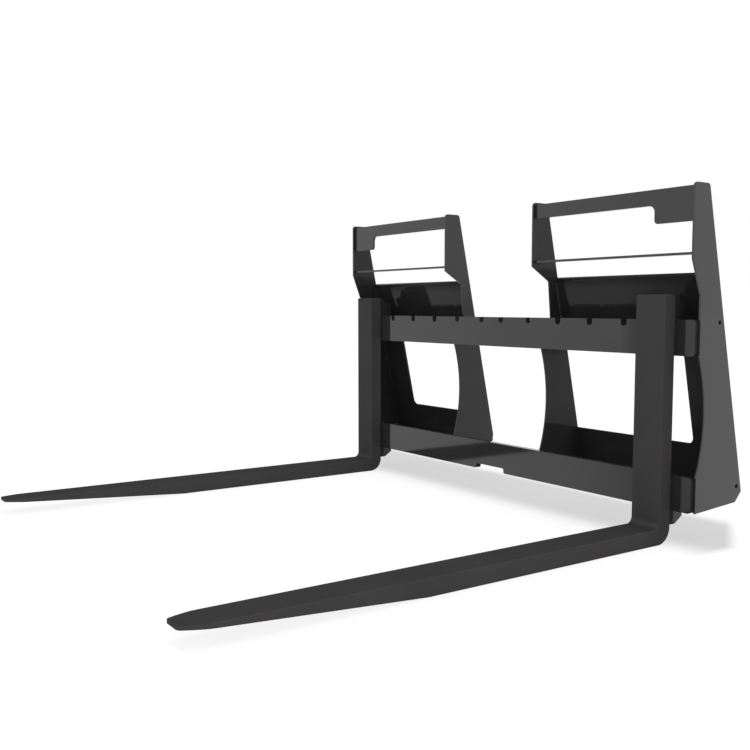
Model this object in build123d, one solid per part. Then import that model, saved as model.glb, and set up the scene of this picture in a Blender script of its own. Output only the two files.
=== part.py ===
from build123d import *
import os
from math import cos, radians, sin, tan

# Pallet fork attachment: a carriage of two rails, two towers with a coupler
# plate each, and a pair of hook-on forks that slide along the rails.
# Millimetres, +Z up, forks pointing to -Y, X = 0 midway between the towers.
# While drawing, Z = 0 is the floor and Y = 0 the front face of the rails.

# Rails
carriage_height = 407.0
rail_height = 76.2
rail_thickness = 16.0
rail_underside = 72.2
rail_corner_radius = 8.0
notch_first = 38.1
notch_pitch = 101.6
notch_play = 4.3
notch_depth = 16.0
fork_end_clearance = 40.0
cutout_side_play = 16.0
cutout_clearance = 0.8
cutout_radius = 5.0

# Side plates of the towers
frame_width = 1277.0
walk_through = 337.0
plate_thickness = 4.76
tower_top_depth = 47.5
tower_overhang = 19.0
back_lean = 12.08
top_corner_radius = 8.0
overhang_foot_drop = 8.25
throat_radius = 12.0
rail_let_in = 6.5
outer_throat_drop = 74.0
outer_hollow_depth = 22.0
outer_heel_height = 30.8
outer_heel_rise = 9.0
outer_heel_run = 21.0
outer_heel_radius = 6.0
inner_throat_drop = 36.0
inner_throat_clearance = 2.0
inner_shelf_clearance = 13.0
inner_shelf_gap = 4.35
inner_shelf_radius = 8.0
inner_hollow_depth = 20.0
inner_foot_clearance = 14.0
inner_heel_rise = 21.0
inner_heel_radius = 20.0
plate_hole_diameter = 9.5
plate_hole_inset = 14.7
upper_hole_drop = 6.2
lower_hole_rise = 13.0

# Header bars with their end tabs, and the guard bars below them
header_thickness = 6.35
header_setback = 6.35
header_drop = 5.3
header_height = 33.7
tab_length = 101.6
tab_height = 72.7
tab_corner_radius = 9.0
tab_root_radius = 14.0
guard_gap = 62.25
guard_thickness = 5.5
guard_depth = 20.0
guard_setback = 6.35
guard_rise = 33.05

# Coupler plates
mount_thickness = 6.35
mount_rise = 47.2
mount_bend_radius = 3.0
lip_length = 26.0
lip_angle = 45.0
lip_end_gap = 20.0
mount_fold_rise = 17.0
flange_length = 37.0
flange_fold = 54.0
window_column = 101.8
window_bottom_rise = 48.6
window_top_rise = 37.0
window_radius = 15.0
slot_inset = 133.65
slot_length = 64.0
slot_width = 20.0

# Forks
fork_width = 76.0
fork_thickness = 36.0
fork_length = 1070.0
shank_rise = 52.8
heel_radius = 36.0
inner_heel_round = 15.0
taper_start = 613.0
tip_thickness = 6.0
tip_round_length = 81.0
tip_round_radius = 212.0
tip_corner_radius = 9.0
fork_edge_radius = 3.0

# Hooks welded to the back of each fork
hook_gap = 1.5
hook_depth = 36.0
hook_shoulder_drop = 16.0
hook_shoulder_depth = 14.0
hook_lip_drop = 24.0
hook_round = 4.0
lower_hook_gap = 1.2
lower_hook_height = 30.0
lower_hook_depth = 38.0
lower_lip_rise = 12.0
lower_hook_toe = 15.0
lower_hook_bevel = 15.0
lower_hook_round = 3.0

# Lock pins in the top hooks, drawn lifted out of the notches
pin_diameter = 12.7
pin_setback = 9.5
pin_bore_clearance = 0.05
pin_lift_clearance = 1.8
pin_point = 2.0
knob_diameter = 18.0
knob_height = 10.0
knob_top_drop = 1.0
knob_bevel = 1.5
pocket_clearance = 0.4
pocket_floor_gap = 1.0

# Derived heights, from the rails up
rail_top = rail_underside + carriage_height
upper_rail_bottom = rail_top - rail_height
lower_rail_top = rail_underside + rail_height
shank_height = rail_top + shank_rise
mount_top = shank_height + mount_rise
guard_height = mount_top + guard_rise
tab_bottom = guard_height + guard_thickness + guard_gap
header_top = tab_bottom + tab_height
tower_height = header_top + header_drop
overhang_foot = guard_height - overhang_foot_drop
outer_throat_height = overhang_foot - outer_throat_drop
inner_throat_height = overhang_foot - inner_throat_drop
outer_heel = rail_underside + outer_heel_height
mount_fold_height = outer_heel + mount_fold_rise
window_bottom = lower_rail_top + window_bottom_rise
window_top = upper_rail_bottom + window_top_rise
hook_seat = rail_top
hook_lip_bottom = hook_seat - hook_lip_drop
hook_shoulder = shank_height - hook_shoulder_drop
shelf_height = hook_lip_bottom - inner_shelf_gap
lower_hook_top = rail_underside - lower_hook_gap
lower_hook_bottom = lower_hook_top - lower_hook_height
lower_lip_top = rail_underside + lower_lip_rise
inner_foot = lower_lip_top + inner_foot_clearance

# Derived widths
outer_face = frame_width / 2
outer_inside = outer_face - plate_thickness
inner_face = walk_through / 2
inner_outside = inner_face + plate_thickness
bay_length = outer_inside - inner_outside
rail_length = 2 * outer_inside
notch_width = pin_diameter + notch_play
notch_room = outer_inside - fork_end_clearance - fork_width / 2 - notch_first
notch_number = int(notch_room / notch_pitch) + 1
fork_centre = notch_first + (notch_number - 1) * notch_pitch
cutout_width = fork_width + 2 * cutout_side_play
slot_centre = outer_inside - slot_inset

# Derived depths
tower_front = -tower_overhang
tower_back = tower_front + tower_top_depth
outer_throat = rail_thickness - rail_let_in
hook_inside = rail_thickness + hook_gap
inner_throat = hook_depth + inner_throat_clearance
inner_shelf = hook_depth + inner_shelf_clearance
cutout_depth = lower_lip_rise + cutout_clearance
lean_slope = tan(radians(back_lean))
pin_travel = notch_depth


def back_edge(height):
    """Depth of the leaning back edge of the towers at a height."""
    return tower_back + (tower_height - height) * lean_slope


def corners(shape, points):
    """The corners of a flat outline that lie nearest to the points."""
    found = shape.vertices()
    return [found.sort_by_distance(Vector(*point))[0] for point in points]


def rounded(shape, points, radius):
    """The outline with the corners at the points rounded."""
    return fillet(corners(shape, points), radius)


def across(outline, start, length):
    """A side view outline, drawn as depth and height, run along X."""
    return extrude(Plane.YZ.offset(start) * outline, amount=length)


def forward(outline, back, thickness):
    """A front view outline, drawn as X and height, run forward from its back."""
    return extrude(Plane.XZ.offset(-back) * outline, amount=thickness)


def block(x0, x1, z0, z1):
    """A front view rectangle between two X and two heights."""
    return Pos((x0 + x1) / 2, (z0 + z1) / 2) * Rectangle(x1 - x0, z1 - z0)


def rail_outline(bottom):
    """Front view of a rail with rounded corners."""
    middle = bottom + rail_height / 2
    return Pos(0, middle) * RectangleRounded(rail_length, rail_height, rail_corner_radius)


def top_rail():
    """Upper rail with the locking notches in its top edge."""
    outline = rail_outline(upper_rail_bottom)
    root = rail_top - notch_depth + notch_width / 2
    half = notch_width / 2
    for number in range(notch_number):
        for side in (-1, 1):
            x = side * (notch_first + number * notch_pitch)
            outline -= Pos(x, root) * Circle(half)
            outline -= block(x - half, x + half, root, rail_top + half)
    return forward(outline, rail_thickness, rail_thickness)


def bottom_rail():
    """Lower rail with the relief in its lower edge for hanging the forks."""
    half = cutout_width / 2
    ceiling = rail_underside + cutout_depth
    outline = rail_outline(rail_underside)
    outline -= block(-half, half, rail_underside - cutout_radius, ceiling)
    points = [(-half, ceiling), (half, ceiling), (-half, rail_underside), (half, rail_underside)]
    outline = rounded(outline, points, cutout_radius)
    return forward(outline, rail_thickness, rail_thickness)


def hollow(front, depth):
    """Arc of a side plate's front edge between the two rails, from the top."""
    middle = (upper_rail_bottom + lower_rail_top) / 2
    start = (front, upper_rail_bottom)
    return ThreePointArc(start, (front + depth, middle), (front, lower_rail_top))


def outer_plate():
    """Outer side plate of the right tower, which closes the ends of the rails."""
    top_front = (tower_front, tower_height)
    top_back = (tower_back, tower_height)
    kink = (tower_front, overhang_foot)
    throat = (outer_throat, outer_throat_height)
    heel_back = (back_edge(outer_heel), outer_heel)
    foot_front = (outer_throat, rail_underside)
    heel_foot = (heel_back[0] - outer_heel_run, rail_underside + outer_heel_rise)
    upper = [top_front, kink, throat, (outer_throat, upper_rail_bottom)]
    lower = [(outer_throat, lower_rail_top), foot_front, heel_foot, heel_back, top_back, top_front]
    edge = Polyline(*upper) + hollow(outer_throat, outer_hollow_depth) + Polyline(*lower)
    outline = make_face(edge)
    outline = rounded(outline, [top_front, top_back], top_corner_radius)
    outline = rounded(outline, [heel_foot, heel_back], outer_heel_radius)
    outline = rounded(outline, [kink, throat], throat_radius)
    for height in (rail_top - upper_hole_drop, outer_heel + lower_hole_rise):
        depth = back_edge(height) - plate_hole_inset
        outline -= Pos(depth, height) * Circle(plate_hole_diameter / 2)
    return across(outline, outer_inside, plate_thickness)


def inner_plate():
    """Inner side plate, stepped back so that the fork hooks pass in front of it."""
    top_front = (tower_front, tower_height)
    top_back = (tower_back, tower_height)
    kink = (tower_front, overhang_foot)
    throat = (inner_throat, inner_throat_height)
    shelf_back = (inner_shelf, shelf_height)
    shelf_front = (rail_thickness, shelf_height)
    foot = (rail_thickness, inner_foot)
    heel_height = inner_foot + inner_heel_rise
    heel = (back_edge(heel_height), heel_height)
    upper = [top_front, kink, throat, shelf_back, shelf_front, (rail_thickness, upper_rail_bottom)]
    lower = [(rail_thickness, lower_rail_top), foot, heel, top_back, top_front]
    edge = Polyline(*upper) + hollow(rail_thickness, inner_hollow_depth) + Polyline(*lower)
    outline = make_face(edge)
    outline = rounded(outline, [top_front, top_back], top_corner_radius)
    outline = rounded(outline, [shelf_back], inner_shelf_radius)
    outline = rounded(outline, [heel], inner_heel_radius)
    return across(outline, inner_face, plate_thickness)


def header():
    """Header bar of the right tower, with a deeper tab at its outer end."""
    bar_bottom = header_top - header_height
    tab_end = outer_inside - tab_length
    outline = block(inner_outside, outer_inside, bar_bottom, header_top)
    outline += block(tab_end, outer_inside, tab_bottom, header_top)
    outline = rounded(outline, [(tab_end, tab_bottom)], tab_corner_radius)
    outline = rounded(outline, [(tab_end, bar_bottom)], tab_root_radius)
    return forward(outline, tower_front + header_setback + header_thickness, header_thickness)


def guard_bar():
    """Flat guard bar between the side plates, below the header."""
    strip = block(inner_outside, outer_inside, guard_height, guard_height + guard_thickness)
    return forward(strip, tower_front + guard_setback + guard_depth, guard_depth)


def mount_section():
    """Side view of the folded coupler plate: lip, leaning face and lower flange."""
    lean = radians(back_lean)
    lip = radians(back_lean + lip_angle)
    fold = radians(flange_fold - back_lean)
    face_out = Vector(cos(lean), sin(lean))
    top_height = mount_top - mount_thickness - mount_bend_radius * (1 + sin(lean))
    top_height += mount_bend_radius * cos(lean) / tan(radians(lip_angle) / 2)
    top = Vector(back_edge(top_height), top_height)
    bottom = Vector(back_edge(mount_fold_height), mount_fold_height)
    lip_run = Vector(sin(lip), -cos(lip))
    lip_out = Vector(cos(lip), sin(lip))
    flange_run = Vector(-sin(fold), -cos(fold))
    flange_out = Vector(cos(fold), -sin(fold))
    lip_tip = top + lip_run * lip_length
    flange_tip = bottom + flange_run * flange_length
    thick = mount_thickness
    along = Vector(sin(lean), -cos(lean))
    front_top = top - face_out * thick - along * (thick / tan(radians(lip_angle) / 2))
    front_fold = bottom - face_out * thick - along * (thick * tan(radians(flange_fold) / 2))
    lip_top = lip_tip + lip_out * thick
    flange_front = flange_tip - flange_out * thick
    outside = [lip_tip, lip_top, front_top, front_fold, flange_front, flange_tip, bottom, top]
    outline = make_face(Polyline(*outside, close=True))
    outline = rounded(outline, [front_top, bottom], mount_bend_radius + thick)
    return rounded(outline, [top, front_fold], mount_bend_radius)


def mount_plate():
    """Coupler plate between the side plates, with its window and lock slot."""
    plate = across(mount_section(), inner_outside, bay_length)
    window_end = outer_inside - window_column
    opening = block(inner_outside - window_radius, window_end, window_bottom, window_top)
    opening = rounded(opening, [(window_end, window_bottom), (window_end, window_top)], window_radius)
    depth = back_edge(0)
    plate -= forward(opening, depth, depth)
    for start in (inner_outside, outer_inside - lip_end_gap):
        plate -= across(lip_relief(), start, lip_end_gap)
    return plate - lock_slot()


def lip_relief():
    """Side view of the gap at the ends of the lip, which leaves the leaning face whole."""
    low = mount_top - 2 * lip_length
    high = mount_top + lip_length
    near_side = [(back_edge(height) + mount_bend_radius, height) for height in (low, high)]
    far_side = [(depth + 2 * lip_length, height) for depth, height in near_side]
    return make_face(Polyline(*near_side, *reversed(far_side), close=True))


def lock_slot():
    """Slot in the lower flange for the coupler's locking wedge."""
    fold = radians(flange_fold - back_lean)
    middle = flange_length / 2
    depth = back_edge(mount_fold_height) - sin(fold) * middle
    height = mount_fold_height - cos(fold) * middle
    normal = (0, cos(fold), -sin(fold))
    seat = Plane(origin=(slot_centre, depth, height), x_dir=(1, 0, 0), z_dir=normal)
    shape = SlotOverall(slot_length, slot_width)
    return extrude(seat * shape, amount=2 * mount_thickness, both=True)


def fork():
    """Forged L-shaped fork: shank, heel and a blade tapered to its rounded tip."""
    front = -fork_thickness
    tip = front - fork_length
    side = [(0, shank_height), (0, 0), (front - taper_start, 0), (tip, fork_thickness - tip_thickness)]
    side += [(tip, fork_thickness), (front, fork_thickness), (front, shank_height)]
    outline = make_face(Polyline(*side, close=True))
    outline = rounded(outline, [(0, 0)], heel_radius)
    outline = rounded(outline, [(front, fork_thickness)], inner_heel_round)
    body = across(outline, fork_centre - fork_width / 2, fork_width)
    long_edges = body.edges().filter_by(lambda edge: abs(edge.bounding_box().size.X) < 0.001)
    body = fillet(long_edges, fork_edge_radius)
    return body & fork_plan(tip)


def fork_plan(tip):
    """Plan view of the fork, its sides drawn in along arcs towards the tip."""
    half = fork_width / 2
    inset = tip_round_radius - (tip_round_radius**2 - tip_round_length**2) ** 0.5
    start = tip + tip_round_length
    nose = half - inset
    quarter = tip_round_length / 2
    drawn = tip_round_radius - (tip_round_radius**2 - quarter**2) ** 0.5
    right = ThreePointArc((half, start), (half - drawn, start - quarter), (nose, tip))
    left = ThreePointArc((-nose, tip), (-half + drawn, start - quarter), (-half, start))
    edge = Line((half, 0), (half, start)) + right + Line((nose, tip), (-nose, tip))
    edge += left + Line((-half, start), (-half, 0)) + Line((-half, 0), (half, 0))
    outline = rounded(make_face(edge), [(nose, tip), (-nose, tip)], tip_corner_radius)
    return extrude(Pos(fork_centre, 0, 0) * outline, amount=shank_height)


def top_hook():
    """Upper hook: seat on the rail, lip behind it, and a guide for the lock pin."""
    left = fork_centre - fork_width / 2
    shoulder = (hook_shoulder_depth, hook_shoulder)
    swell = (hook_shoulder_depth * sin(radians(55)), hook_shoulder + hook_shoulder_drop * cos(radians(55)))
    crown = (0, shank_height)
    back_top = (hook_depth, hook_shoulder)
    lip_back = (hook_depth, hook_lip_bottom)
    lip_front = (hook_inside, hook_lip_bottom)
    rest = [shoulder, back_top, lip_back, lip_front, (hook_inside, hook_seat), (0, hook_seat), crown]
    outline = make_face(ThreePointArc(crown, swell, shoulder) + Polyline(*rest))
    outline = rounded(outline, [back_top, lip_back], hook_round)
    hook = across(outline, left, fork_width)
    bore = Circle(pin_diameter / 2 + pin_bore_clearance)
    hook -= extrude(Pos(fork_centre, pin_setback, 0) * bore, amount=shank_height)
    pocket = Circle(knob_diameter / 2 + pocket_clearance)
    hook -= extrude(Pos(fork_centre, pin_setback, pocket_floor()) * pocket, amount=shank_height)
    return hook


def pocket_floor():
    """Height of the floor under the knob of a lowered pin."""
    return shank_height - knob_top_drop - knob_height - pin_travel - pocket_floor_gap


def bottom_hook():
    """Lower hook: passes under the rail with a short lip behind it."""
    left = fork_centre - fork_width / 2
    toe = (lower_hook_toe, lower_hook_bottom)
    bevel = (lower_hook_depth, lower_hook_bottom + lower_hook_bevel)
    lip_back = (lower_hook_depth, lower_lip_top)
    lip_front = (hook_inside, lower_lip_top)
    points = [(0, lower_hook_bottom), toe, bevel, lip_back, lip_front]
    points += [(hook_inside, lower_hook_top), (0, lower_hook_top)]
    outline = make_face(Polyline(*points, close=True))
    outline = rounded(outline, [lip_back, lip_front], lower_hook_round)
    return across(outline, left, fork_width)


def lock_pin():
    """Lock pin with a bevelled point, standing lifted above the rail."""
    bottom = rail_top + pin_lift_clearance
    top = shank_height - knob_top_drop - knob_height
    pin = extrude(Circle(pin_diameter / 2), amount=top - bottom)
    pin = chamfer(pin.faces().sort_by(Axis.Z)[0].edges(), pin_point)
    return Pos(fork_centre, pin_setback, bottom) * pin


def pin_knob():
    """Round knob on top of the lock pin."""
    bottom = shank_height - knob_top_drop - knob_height
    knob = extrude(Circle(knob_diameter / 2), amount=knob_height)
    knob = chamfer(knob.faces().sort_by(Axis.Z)[-1].edges(), knob_bevel)
    return Pos(fork_centre, pin_setback, bottom) * knob


# One solid for each single piece, and a mirrored pair for the rest
pieces = {"top_rail": top_rail(), "bottom_rail": bottom_rail()}
paired = {
    "outer_plate": outer_plate(),
    "inner_plate": inner_plate(),
    "header": header(),
    "guard_bar": guard_bar(),
    "mount_plate": mount_plate(),
    "fork": fork(),
    "top_hook": top_hook(),
    "bottom_hook": bottom_hook(),
    "lock_pin": lock_pin(),
    "pin_knob": pin_knob(),
}
for name, shape in paired.items():
    pieces[name + "_right"] = shape
    pieces[name + "_left"] = mirror(shape, about=Plane.YZ)

# The origin goes to the middle of the underside of the overall box
boxes = [shape.bounding_box() for shape in pieces.values()]
front_end = min(box.min.Y for box in boxes)
back_end = max(box.max.Y for box in boxes)
home = Pos(0, -(front_end + back_end) / 2, 0)

os.makedirs("parts", exist_ok=True)
for name, shape in pieces.items():
    export_step(home * shape, "parts/" + name + ".step")
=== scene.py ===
import math
import random

import bmesh
import bpy
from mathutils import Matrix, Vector


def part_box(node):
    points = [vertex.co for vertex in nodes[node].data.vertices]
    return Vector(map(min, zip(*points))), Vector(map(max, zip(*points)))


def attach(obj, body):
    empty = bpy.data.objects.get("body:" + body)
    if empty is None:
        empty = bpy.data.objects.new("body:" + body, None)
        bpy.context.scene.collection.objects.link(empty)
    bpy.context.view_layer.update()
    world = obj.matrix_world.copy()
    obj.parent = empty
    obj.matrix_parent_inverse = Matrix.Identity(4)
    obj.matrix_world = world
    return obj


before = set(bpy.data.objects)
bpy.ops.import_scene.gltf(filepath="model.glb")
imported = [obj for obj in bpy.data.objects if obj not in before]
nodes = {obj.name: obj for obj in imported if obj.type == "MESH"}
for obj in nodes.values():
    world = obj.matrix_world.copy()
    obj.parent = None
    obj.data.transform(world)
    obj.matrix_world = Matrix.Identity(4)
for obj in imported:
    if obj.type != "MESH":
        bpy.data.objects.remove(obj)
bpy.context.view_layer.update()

# Rails' front faces in the row frame, taken from the model; lengths are in metres
RAIL_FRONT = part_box("top_rail")[0][1]

# Camera, with its image in pixels
CAMERA_AT = (1.8282, RAIL_FRONT - 1.6070, 0.5061)
CAMERA_YAW = math.radians(55.155)
CAMERA_PITCH = math.radians(4.993)
CAMERA_REACH = 200
IMAGE_SIZE = 750
FOCAL_PIXELS = 920.5
CENTRE_X = 386.3
CENTRE_Y = 387.1
SENSOR = 36.0

# Edges rounded by handling and paint
PLATE_EDGE = 0.0006
EDGES = {
    "fork": 0.003,
    "top_hook": 0.002,
    "bottom_hook": 0.002,
    "top_rail": 0.0,
    "bottom_rail": 0.0,
    "lock_pin": 0.0003,
    "pin_knob": 0.0004,
}
EDGE_ANGLE = math.radians(40)
EDGE_SEGMENTS = 2
SAME_POINT = 0.00001

# Coupler plate's front face: depth behind the rails' faces and height above the floor
FACE_TOP = (0.06327, 0.565)
FACE_FOLD = (0.15816, 0.12183)
FLANGE_END = (0.14380, 0.10585)
WINDOW_FOOT = 0.186
WINDOW_HEAD = 0.451

# Weld beads: size, length of a ripple, section as shares of the leg, and unevenness
BEAD_LEG = 0.0055
BEAD_STEP = 0.0022
BEAD_SECTION = ((0, 0), (1, 0), (0.86, 0.34), (0.62, 0.62), (0.34, 0.86), (0, 1))
BEAD_WAIST = 0.94
BEAD_RIPPLE = 0.06
BEAD_UNEVEN = 0.03
SEED_INNER_LOW = 11
SEED_INNER_HIGH = 21
SEED_OUTER = 31

# Paint's patches of tone and gloss, and its orange peel
PATCH_SCALE = 6.0
PATCH_DETAIL = 4.0
PATCH_DARK = 0.35
PATCH_LIGHT = 0.65
PEEL_SCALE = 380.0
PEEL_DETAIL = 2.0
PEEL_DEPTH = 0.0003

# Part of a face's direction along an axis at which it begins to count as facing that way, and counts
FACING_FIRST = 0.5
FACING_LAST = 0.7

# Colours of the dark and the light patches
BLACK = ((0.024, 0.024, 0.0242), (0.028, 0.028, 0.0282))
# Darker copy of the black for the coupler plates, as painted shade
SHADED_BLACK = ((0.0185, 0.0185, 0.0187), (0.022, 0.022, 0.0222))
CHARCOAL = ((0.0540, 0.0516, 0.0522), (0.0595, 0.0568, 0.0574))
STEEL = ((0.30, 0.30, 0.29), (0.42, 0.42, 0.40))

# Floor: its size, its gap below the blades, and the grey and glow of its surface
FLOOR_SIZE = 60
FLOOR_GAP = 0.0005
OPEN_GREY = 0.15
OPEN_GLOW = 0.87
# Grey and glow under the painted shadow
SHADED_GREY = 0.08
SHADED_GLOW = 0.61
BOUNCE_GREY = 0.8

# Painted shadow on the floor beneath the carriage
SHADE_LEFT = -0.735
SHADE_RIGHT = 0.679
SHADE_SIDE_SOFT = 0.02
SHADE_FRONT = RAIL_FRONT - 0.003
SHADE_FRONT_SOFT = 0.065
SHADE_REAR = RAIL_FRONT + 0.265
SHADE_REAR_SOFT = 0.04
SHADE_CORNER = RAIL_FRONT + 0.08
SHADE_SLOPE = 0.7

# Light
BACKDROP_STRENGTH = 1.0
SKY_STRENGTH = 0.85
LAMP_STRENGTH = 0.6
LAMP_SPREAD = math.radians(18)
LAMP_TILT = (math.radians(6), math.radians(-4), 0)


def add_camera():
    """Camera at the photograph's viewing angle."""
    data = bpy.data.cameras.new("camera")
    camera = bpy.data.objects.new("camera", data)
    bpy.context.scene.collection.objects.link(camera)
    camera.location = CAMERA_AT
    camera.rotation_euler = (math.pi / 2 - CAMERA_PITCH, 0, CAMERA_YAW)
    data.sensor_width = SENSOR
    data.lens = FOCAL_PIXELS / IMAGE_SIZE * SENSOR
    data.shift_x = (IMAGE_SIZE / 2 - CENTRE_X) / IMAGE_SIZE
    data.shift_y = (CENTRE_Y - IMAGE_SIZE / 2) / IMAGE_SIZE
    data.clip_end = CAMERA_REACH
    bpy.context.scene.camera = camera


def face_point(height):
    """Point of the coupler plate's leaning front face at a height."""
    share = (height - FACE_FOLD[1]) / (FACE_TOP[1] - FACE_FOLD[1])
    return (FACE_FOLD[0] + share * (FACE_TOP[0] - FACE_FOLD[0]), height)


def bead_stations(corner_x, profile):
    """Places along a bead, each with the way that the coupler plate faces there."""
    stations = []
    for (y0, z0), (y1, z1) in zip(profile, profile[1:]):
        run = Vector((0, y1 - y0, z1 - z0))
        forward = Vector((0, -run.z, run.y)).normalized()
        if forward.y > 0:
            forward.negate()
        count = max(2, round(run.length / BEAD_STEP))
        for step in range(count + 1):
            place = Vector((corner_x, RAIL_FRONT + y0, z0)) + run * (step / count)
            stations.append((place, forward))
    return stations


def bead_faces(total, size):
    """Both end faces of a bead, and the faces between its sections."""
    faces = [tuple(range(size)), tuple(range(total - 1, total - 1 - size, -1))]
    for first in range(0, total - size, size):
        for corner in range(size):
            after = (corner + 1) % size
            faces.append((first + corner, first + after, first + size + after, first + size + corner))
    return faces


def weld_bead(name, corner_x, side, profile, seed, material):
    """Fillet bead in the corner of a side plate and the coupler plate, with ripples."""
    dice = random.Random(seed)
    points = []
    for number, (place, forward) in enumerate(bead_stations(corner_x, profile)):
        swell = BEAD_WAIST + BEAD_RIPPLE * (number % 2) + dice.uniform(-BEAD_UNEVEN, BEAD_UNEVEN)
        leg = BEAD_LEG * swell
        for across, ahead in BEAD_SECTION:
            points.append(place + Vector((side, 0, 0)) * across * leg + forward * ahead * leg)
    mesh = bpy.data.meshes.new(name)
    mesh.from_pydata([tuple(point) for point in points], [], bead_faces(len(points), len(BEAD_SECTION)))
    form = bmesh.new()
    form.from_mesh(mesh)
    bmesh.ops.recalc_face_normals(form, faces=form.faces)
    form.to_mesh(mesh)
    form.free()
    piece = bpy.data.objects.new(name, mesh)
    bpy.context.scene.collection.objects.link(piece)
    piece.data.materials.append(material)
    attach(piece, "frame")


def add_welds(material):
    """Beads along both ends of each coupler plate, broken where its window is open."""
    low = [FLANGE_END, FACE_FOLD, face_point(WINDOW_FOOT)]
    high = [face_point(WINDOW_HEAD), FACE_TOP]
    whole = [FLANGE_END, FACE_FOLD, FACE_TOP]
    for hand, side in (("right", 1), ("left", -1)):
        start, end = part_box("mount_plate_" + hand)
        inner, outer = (start[0], end[0]) if side > 0 else (end[0], start[0])
        weld_bead("weld_inner_low_" + hand, inner, side, low, SEED_INNER_LOW + side, material)
        weld_bead("weld_inner_high_" + hand, inner, side, high, SEED_INNER_HIGH + side, material)
        weld_bead("weld_outer_" + hand, outer, -side, whole, SEED_OUTER + side, material)


def new_material(name):
    """Empty node material with an output."""
    material = bpy.data.materials.new(name)
    material.use_nodes = True
    material.node_tree.nodes.clear()
    output = material.node_tree.nodes.new("ShaderNodeOutputMaterial")
    return material, material.node_tree, output


def calculate(tree, operation, first, second=0.0):
    """Math node on two values, each a socket or a number; gives its output."""
    node = tree.nodes.new("ShaderNodeMath")
    node.operation = operation
    for number, value in enumerate((first, second)):
        if isinstance(value, (int, float)):
            node.inputs[number].default_value = value
        else:
            tree.links.new(value, node.inputs[number])
    return node.outputs[0]


def noise(tree, place, scale, detail):
    """Noise in the piece's own space; gives its output."""
    node = tree.nodes.new("ShaderNodeTexNoise")
    node.inputs["Scale"].default_value = scale
    node.inputs["Detail"].default_value = detail
    tree.links.new(place.outputs["Object"], node.inputs["Vector"])
    return node.outputs["Fac"]


def colour_ramp(tree, value, low, high):
    """Colour between two linear colours, along the value."""
    ramp = tree.nodes.new("ShaderNodeValToRGB")
    ramp.color_ramp.elements[0].position = PATCH_DARK
    ramp.color_ramp.elements[0].color = (*low, 1)
    ramp.color_ramp.elements[1].position = PATCH_LIGHT
    ramp.color_ramp.elements[1].color = (*high, 1)
    tree.links.new(value, ramp.inputs["Fac"])
    return ramp.outputs["Color"]


def shares(tree, place, changes, value):
    """The value times the share of each change.

    A change is (kind, axis, first, last, share). It goes from one, at first, to its share,
    at last, along the place ("Object") or along the way that a face looks ("Normal").
    """
    for kind, axis, first, last, share in changes:
        parts = tree.nodes.new("ShaderNodeSeparateXYZ")
        tree.links.new(place.outputs[kind], parts.inputs["Vector"])
        along = parts.outputs[axis.removeprefix("both ")]
        if axis.startswith("both "):
            along = calculate(tree, "ABSOLUTE", along)
        ramp = tree.nodes.new("ShaderNodeMapRange")
        ramp.inputs["From Min"].default_value = first
        ramp.inputs["From Max"].default_value = last
        ramp.inputs["To Min"].default_value = 1.0
        ramp.inputs["To Max"].default_value = share
        tree.links.new(along, ramp.inputs["Value"])
        value = calculate(tree, "MULTIPLY", ramp.outputs["Result"], value)
    return value


def paint(name, colours, rough, rough_spread, level, peel, metal=0.0, changes=(), tones=()):
    """Sprayed paint: faint patches of tone and gloss, and a fine orange peel.

    Level is the strength of the reflection. The changes act on it, and the tones act on
    the colour, both as shares() takes them.
    """
    material, tree, output = new_material(name)
    link = tree.links.new
    shader = tree.nodes.new("ShaderNodeBsdfPrincipled")
    place = tree.nodes.new("ShaderNodeTexCoord")
    patches = noise(tree, place, PATCH_SCALE, PATCH_DETAIL)
    colour = colour_ramp(tree, patches, *colours)
    if tones:
        scaled = tree.nodes.new("ShaderNodeVectorMath")
        scaled.operation = "SCALE"
        link(colour, scaled.inputs[0])
        link(shares(tree, place, tones, 1.0), scaled.inputs["Scale"])
        colour = scaled.outputs["Vector"]
    link(colour, shader.inputs["Base Color"])
    gloss = tree.nodes.new("ShaderNodeMapRange")
    gloss.inputs["To Min"].default_value = rough - rough_spread
    gloss.inputs["To Max"].default_value = rough + rough_spread
    link(patches, gloss.inputs["Value"])
    link(gloss.outputs["Result"], shader.inputs["Roughness"])
    bump = tree.nodes.new("ShaderNodeBump")
    bump.inputs["Strength"].default_value = peel
    bump.inputs["Distance"].default_value = PEEL_DEPTH
    link(noise(tree, place, PEEL_SCALE, PEEL_DETAIL), bump.inputs["Height"])
    link(bump.outputs["Normal"], shader.inputs["Normal"])
    shader.inputs["Specular IOR Level"].default_value = level
    if changes:
        link(shares(tree, place, changes, level), shader.inputs["Specular IOR Level"])
    shader.inputs["Metallic"].default_value = metal
    link(shader.outputs["BSDF"], output.inputs["Surface"])
    return material


def facing(axis, way, share):
    """Change on the faces that look along an axis, forwards (1) or backwards (-1)."""
    return ("Normal", axis, way * FACING_FIRST, way * FACING_LAST, share)


def gloss_black(name, level, *changes):
    """Gloss black of the carriage."""
    return paint(name, BLACK, 0.07, 0.015, level, 0.03, changes=changes)


def rail_coats():
    """Gloss black of the rails and top hooks, with painted shade: weaker reflection on cut faces, towards
    both rail ends and by the right fork, restored just past that fork.
    """
    # Painted shade on the cut faces and towards both rail ends
    cut_face_shade = facing("both X", 1, 0.04)
    rail_end_shade = ("Object", "both X", 0.50, 0.60, 0.72)
    # Painted shade of the right fork on the rails, ending just past the fork
    shade_towards_fork = ("Object", "X", 0.28, 0.46, 0.74)
    shade_beside_fork = ("Object", "X", 0.44, 0.475, 0.6)
    shade_end_past_fork = ("Object", "X", 0.58, 0.59, 1.67)
    return {
        "top_rail": gloss_black("rail_paint", 0.5, cut_face_shade, rail_end_shade, shade_beside_fork, shade_end_past_fork),
        "bottom_rail": gloss_black("low_rail", 0.5, cut_face_shade, rail_end_shade, shade_towards_fork),
        "top_hook": gloss_black("top_hook_paint", 0.5, cut_face_shade, rail_end_shade),
    }


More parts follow.
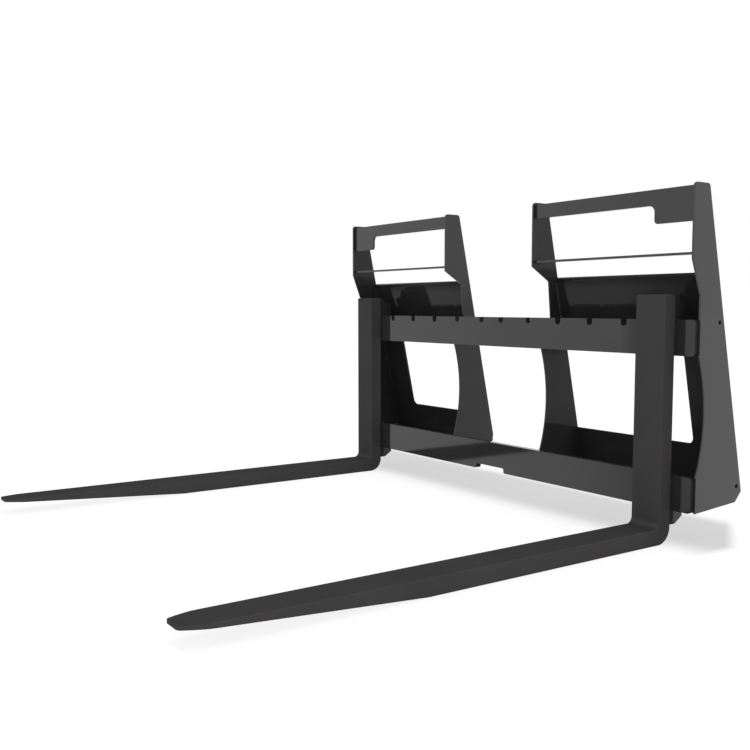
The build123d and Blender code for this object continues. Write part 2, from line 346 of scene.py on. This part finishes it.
def side_plate_coats():
    """Gloss black of the side plates, with painted shade: weaker reflection on faces towards the coupler
    plates, beneath the guard bar down to just below the top rail, and near the bottom; stronger high up.
    Each plate's own strength differs, the outer right highest, as painted light and shade.
    """
    # Painted shade beneath the guard bar down to just below the top rail, and near the bottom
    shade_below_guard = ("Object", "Z", 0.604, 0.592, 0.22)
    shade_end_below_rail = ("Object", "Z", 0.405, 0.38, 2.7)
    shade_guard_to_rail = ("Object", "Z", 0.60, 0.50, 0.6)
    shade_at_foot = ("Object", "Z", 0.26, 0.12, 0.45)
    # Painted shade on the faces towards the coupler plates
    right = (facing("X", 1, 0.49), shade_below_guard, shade_end_below_rail, shade_at_foot)
    left = (facing("X", -1, 0.4), shade_guard_to_rail)
    return {
        "outer_plate_right": gloss_black("outer_right", 0.61, facing("X", -1, 0.2)),
        "outer_plate_left": gloss_black("outer_left", 0.56, facing("X", 1, 0.4), shade_below_guard, shade_end_below_rail),
        "inner_plate_right": paint("inner_right", BLACK, 0.08, 0.015, 0.49, 0.03, changes=right),
        "inner_plate_left": paint("inner_left", BLACK, 0.08, 0.015, 0.49, 0.03, changes=left),
    }


def coupler_coat():
    """Black of the coupler plates, darker and far less reflective than the rest of the frame, as painted
    shade; its reflection is weaker still low down, outwards, to the right and along the top, and its
    colour darker low down, all painted shade.
    """
    # Painted shade on the coupler plates' reflection
    shade_low_down = ("Object", "Z", 0.32, 0.20, 0.04)
    shade_outwards = ("Object", "both X", 0.35, 0.60, 0.65)
    shade_to_right = ("Object", "X", 0.42, 0.58, 0.55)
    shade_along_top = ("Object", "Z", 0.548, 0.566, 0.35)
    changes = (shade_low_down, shade_outwards, shade_to_right, shade_along_top)
    # Painted shade in the colour low down
    tones = (("Object", "Z", 0.32, 0.20, 0.92),)
    return paint("coupler_paint", SHADED_BLACK, 0.07, 0.015, 0.17, 0.03, changes=changes, tones=tones)


def bottom_hook_coat():
    """Satin black of the bottom hooks, with painted shade right behind the shank, where the reflection is
    almost gone.
    """
    # Painted shade right behind the shank
    shade_by_shank = ("Object", "Y", RAIL_FRONT + 0.014, RAIL_FRONT + 0.007, 0.05)
    return paint("hook_paint", BLACK, 0.12, 0.02, 0.38, 0.03, changes=(shade_by_shank,))


def fork_coat():
    """Near matt charcoal of the forks, lighter out along the tines as painted light, and darker on top
    faces as painted shade.
    """
    # Painted light out along the tines and painted shade on the top faces
    light_along_tines = ("Object", "Y", RAIL_FRONT - 0.04, RAIL_FRONT - 0.09, 1.15)
    shade_on_top = ("Normal", "Z", 0.7, 0.9, 0.69)
    return paint("fork_paint", CHARCOAL, 0.5, 0.03, 0.0, 0.05, tones=(light_along_tines, shade_on_top))


def pin_coat():
    """Zinc plated steel of the pins and knobs."""
    return paint("pin_steel", STEEL, 0.35, 0.05, 0.5, 0.02, metal=1.0)


def soften(piece, width):
    """Lightly rounded edges all round, where a width is given."""
    if not width:
        return
    weld = piece.modifiers.new("weld", "WELD")
    weld.merge_threshold = SAME_POINT
    bevel = piece.modifiers.new("bevel", "BEVEL")
    bevel.width = width
    bevel.segments = EDGE_SEGMENTS
    bevel.limit_method = "ANGLE"
    bevel.angle_limit = EDGE_ANGLE
    bevel.use_clamp_overlap = True
    bevel.harden_normals = True


def dress_nodes():
    """Material and edges of every CAD node; a coat goes by name or by kind."""
    other_coat = gloss_black("frame_paint", 0.53)
    steel = pin_coat()
    coats = {**rail_coats(), **side_plate_coats()}
    coats["mount_plate"] = coupler_coat()
    coats["fork"] = fork_coat()
    coats["bottom_hook"] = bottom_hook_coat()
    coats["lock_pin"] = steel
    coats["pin_knob"] = steel
    for name, piece in nodes.items():
        kind = name.removesuffix("_right").removesuffix("_left")
        material = coats.get(name) or coats.get(kind, other_coat)
        piece.data.materials.clear()
        piece.data.materials.append(material)
        soften(piece, EDGES.get(kind, PLATE_EDGE))
    add_welds(coats["mount_plate"])


def seen_rays(tree):
    """One for rays that show the surface, straight, mirrored or through glass; nought for others."""
    path = tree.nodes.new("ShaderNodeLightPath")
    seen = calculate(tree, "MAXIMUM", path.outputs["Is Camera Ray"], path.outputs["Is Glossy Ray"])
    return calculate(tree, "MAXIMUM", seen, path.outputs["Is Transmission Ray"])


def mixed(tree, share, first, second):
    """Mix of two shaders by a share; gives its output."""
    mix = tree.nodes.new("ShaderNodeMixShader")
    for number, socket in enumerate((share, first, second)):
        tree.links.new(socket, mix.inputs[number])
    return mix.outputs[0]


def matt(tree, grey):
    """Matt grey surface."""
    shader = tree.nodes.new("ShaderNodeBsdfDiffuse")
    shader.inputs["Color"].default_value = (grey, grey, grey, 1)
    return shader.outputs[0]


def glowing(tree, grey, strength):
    """Matt grey surface with a glow added, so that shadows on it stay pale."""
    glow = tree.nodes.new("ShaderNodeEmission")
    glow.inputs["Color"].default_value = (1, 1, 1, 1)
    glow.inputs["Strength"].default_value = strength
    both = tree.nodes.new("ShaderNodeAddShader")
    tree.links.new(matt(tree, grey), both.inputs[0])
    tree.links.new(glow.outputs[0], both.inputs[1])
    return both.outputs[0]


def soft_step(tree, value, edge, soft):
    """One below the edge and nought above it, going over softly; a negative soft turns it round."""
    step = tree.nodes.new("ShaderNodeMapRange")
    step.interpolation_type = "SMOOTHSTEP"
    step.inputs["From Min"].default_value = edge + soft
    step.inputs["From Max"].default_value = edge - soft
    tree.links.new(value, step.inputs["Value"])
    return step.outputs["Result"]


def painted_shadow_beneath_carriage(tree):
    """Painted shadow on the floor: one beneath the carriage and nought beyond, with slanted ends."""
    place = tree.nodes.new("ShaderNodeTexCoord")
    parts = tree.nodes.new("ShaderNodeSeparateXYZ")
    tree.links.new(place.outputs["Object"], parts.inputs["Vector"])
    across, along = parts.outputs["X"], parts.outputs["Y"]
    behind = calculate(tree, "MAXIMUM", calculate(tree, "SUBTRACT", along, SHADE_CORNER))
    slanted = calculate(tree, "ADD", across, calculate(tree, "MULTIPLY", behind, SHADE_SLOPE))
    right = soft_step(tree, slanted, SHADE_RIGHT, SHADE_SIDE_SOFT)
    left = soft_step(tree, slanted, SHADE_LEFT, -SHADE_SIDE_SOFT)
    sides = calculate(tree, "MULTIPLY", left, right)
    front = soft_step(tree, along, SHADE_FRONT, -SHADE_FRONT_SOFT)
    rear = soft_step(tree, along, SHADE_REAR, SHADE_REAR_SOFT)
    return calculate(tree, "MULTIPLY", sides, calculate(tree, "MULTIPLY", front, rear))


def floor_material():
    """Pale floor that keeps the object's shadow, darkened further by a painted shadow beneath the
    carriage, and shows white where it is open.
    """
    material, tree, output = new_material("floor")
    lit = glowing(tree, OPEN_GREY, OPEN_GLOW)
    shaded = glowing(tree, SHADED_GREY, SHADED_GLOW)
    shown = mixed(tree, painted_shadow_beneath_carriage(tree), lit, shaded)
    surface = mixed(tree, seen_rays(tree), matt(tree, BOUNCE_GREY), shown)
    tree.links.new(surface, output.inputs["Surface"])
    return material


def add_floor():
    """Wide level floor under the blades."""
    bpy.ops.mesh.primitive_plane_add(size=FLOOR_SIZE, location=(0, 0, -FLOOR_GAP))
    floor = bpy.context.object
    floor.name = "floor"
    floor.data.materials.append(floor_material())


def background(tree, strength):
    """White background of a strength."""
    node = tree.nodes.new("ShaderNodeBackground")
    node.inputs["Color"].default_value = (1, 1, 1, 1)
    node.inputs["Strength"].default_value = strength
    return node.outputs[0]


def add_sky():
    """Even studio sky that shows as a white backdrop."""
    world = bpy.data.worlds.new("studio")
    bpy.context.scene.world = world
    world.use_nodes = True
    tree = world.node_tree
    tree.nodes.clear()
    output = tree.nodes.new("ShaderNodeOutputWorld")
    sky = background(tree, SKY_STRENGTH)
    backdrop = background(tree, BACKDROP_STRENGTH)
    tree.links.new(mixed(tree, seen_rays(tree), sky, backdrop), output.inputs["Surface"])


def add_lamp():
    """One soft lamp from nearly straight above."""
    data = bpy.data.lights.new("overhead", "SUN")
    data.energy = LAMP_STRENGTH
    data.angle = LAMP_SPREAD
    lamp = bpy.data.objects.new("overhead", data)
    bpy.context.scene.collection.objects.link(lamp)
    lamp.rotation_euler = LAMP_TILT


dress_nodes()
add_camera()
add_floor()
add_sky()
add_lamp()
bpy.context.scene.view_settings.view_transform = "Standard"
